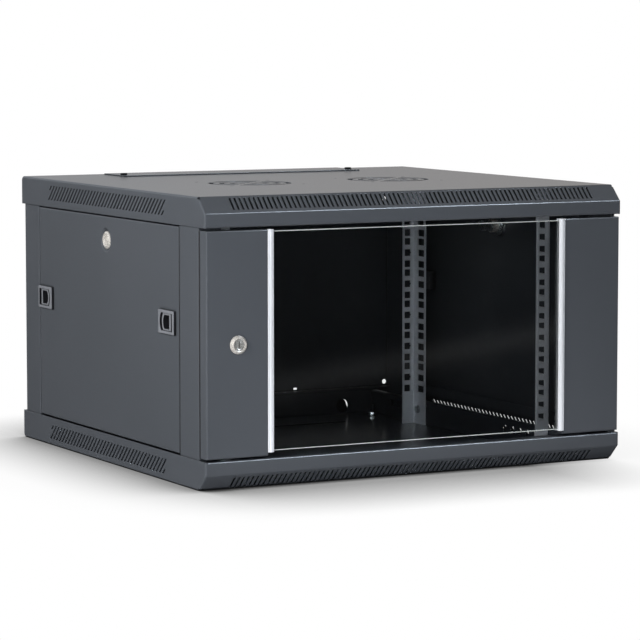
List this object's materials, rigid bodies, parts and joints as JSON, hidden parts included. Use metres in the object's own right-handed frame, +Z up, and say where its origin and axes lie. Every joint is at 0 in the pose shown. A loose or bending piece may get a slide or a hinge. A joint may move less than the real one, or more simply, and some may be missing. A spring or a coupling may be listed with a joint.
{
  "type": "rack cabinet",
  "caption": "Wall-type 19 inch rack cabinet with a hinged glass door, latched removable side panels, notched square-hole rails and slotted top and bottom covers.",
  "frame": {"origin": "on the floor, under the middle of the base", "axes": "+X to the right seen from the front, +Y to the back, +Z up"},
  "size_m": [0.6046, 0.5845, 0.3657],
  "materials": {
    "painted_steel": "fine-textured powder coat",
    "zinc_plated_steel": "zinc plated",
    "chrome": "polished",
    "trim_aluminium": "satin, light",
    "clear_glass": "clear, polished",
    "latch_plastic": "moulded, matt grey"
  },
  "bodies": {
    "frame": {"bottom_cover": "painted_steel", "top_cover": "painted_steel", "front_left_post": "painted_steel", "front_right_post": "painted_steel", "rear_left_post": "painted_steel", "rear_right_post": "painted_steel", "back_panel": "painted_steel", "lower_left_beam": "zinc_plated_steel", "lower_right_beam": "zinc_plated_steel", "upper_left_beam": "zinc_plated_steel", "upper_right_beam": "zinc_plated_steel", "front_left_rail": "zinc_plated_steel", "front_right_rail": "zinc_plated_steel", "rear_left_rail": "zinc_plated_steel", "rear_right_rail": "zinc_plated_steel", "rail_screws": "zinc_plated_steel", "cable_plate_screws": "zinc_plated_steel", "top_cable_plate": "painted_steel", "bottom_cable_plate": "painted_steel", "lower_hinge_plate": "painted_steel", "upper_hinge_plate": "painted_steel", "lower_hinge_pin": "zinc_plated_steel"},
    "door": {"door_left_panel": "painted_steel", "door_right_panel": "painted_steel", "door_left_trim": "trim_aluminium", "door_right_trim": "trim_aluminium", "door_glass": "clear_glass", "door_lock_housing": "chrome", "door_lock_nut": "zinc_plated_steel"},
    "door_lock": {"door_lock_plug": "chrome", "door_lock_cam": "zinc_plated_steel"},
    "hinge_pin": {"upper_hinge_pin": "zinc_plated_steel"},
    "left_panel": {"left_side_panel": "painted_steel", "left_lock_housing": "chrome", "left_lock_nut": "zinc_plated_steel", "left_front_latch_frame": "latch_plastic", "left_rear_latch_frame": "latch_plastic"},
    "left_panel_lock": {"left_lock_plug": "chrome", "left_lock_cam": "zinc_plated_steel"},
    "left_front_latch": {"left_front_latch_slider": "latch_plastic"},
    "left_rear_latch": {"left_rear_latch_slider": "latch_plastic"},
    "right_panel": {"right_side_panel": "painted_steel", "right_lock_housing": "chrome", "right_lock_nut": "zinc_plated_steel", "right_front_latch_frame": "latch_plastic", "right_rear_latch_frame": "latch_plastic"},
    "right_panel_lock": {"right_lock_plug": "chrome", "right_lock_cam": "zinc_plated_steel"},
    "right_front_latch": {"right_front_latch_slider": "latch_plastic"},
    "right_rear_latch": {"right_rear_latch_slider": "latch_plastic"}
  },
  "joints": [
    {"name": "door_hinge", "type": "hinge", "parent": "frame", "child": "door", "pos_m": [0.2915, -0.2825, 0.18], "axis": [0, 0, 1], "range_deg": [0, 180]},
    {"name": "door_lock_turn", "type": "hinge", "parent": "door", "child": "door_lock", "pos_m": [-0.255, -0.29, 0.18], "axis": [0, 1, 0], "range_deg": [0, 90]},
    {"name": "hinge_pin_pull", "type": "slide", "parent": "door", "child": "hinge_pin", "axis": [0, 0, -1], "range_m": [0, 0.01], "stiffness_N_per_m": 300, "springref_m": -0.01},
    {"name": "left_panel_pull", "type": "slide", "parent": "frame", "child": "left_panel", "axis": [-1, 0, 0], "range_m": [0, 0.15]},
    {"name": "left_panel_lock_turn", "type": "hinge", "parent": "left_panel", "child": "left_panel_lock", "pos_m": [-0.2985, 0.009, 0.2906], "axis": [1, 0, 0], "range_deg": [0, 90]},
    {"name": "left_front_latch_slide", "type": "slide", "parent": "left_panel", "child": "left_front_latch", "axis": [0, -1, 0], "range_m": [-0.004, 0.0045]},
    {"name": "left_rear_latch_slide", "type": "slide", "parent": "left_panel", "child": "left_rear_latch", "axis": [0, 1, 0], "range_m": [-0.004, 0.0045]},
    {"name": "right_panel_pull", "type": "slide", "parent": "frame", "child": "right_panel", "axis": [1, 0, 0], "range_m": [0, 0.15]},
    {"name": "right_panel_lock_turn", "type": "hinge", "parent": "right_panel", "child": "right_panel_lock", "pos_m": [0.2985, 0.009, 0.2906], "axis": [1, 0, 0], "range_deg": [0, 90]},
    {"name": "right_front_latch_slide", "type": "slide", "parent": "right_panel", "child": "right_front_latch", "axis": [0, -1, 0], "range_m": [-0.004, 0.0045]},
    {"name": "right_rear_latch_slide", "type": "slide", "parent": "right_panel", "child": "right_rear_latch", "axis": [0, 1, 0], "range_m": [-0.004, 0.0045]}
  ]
}
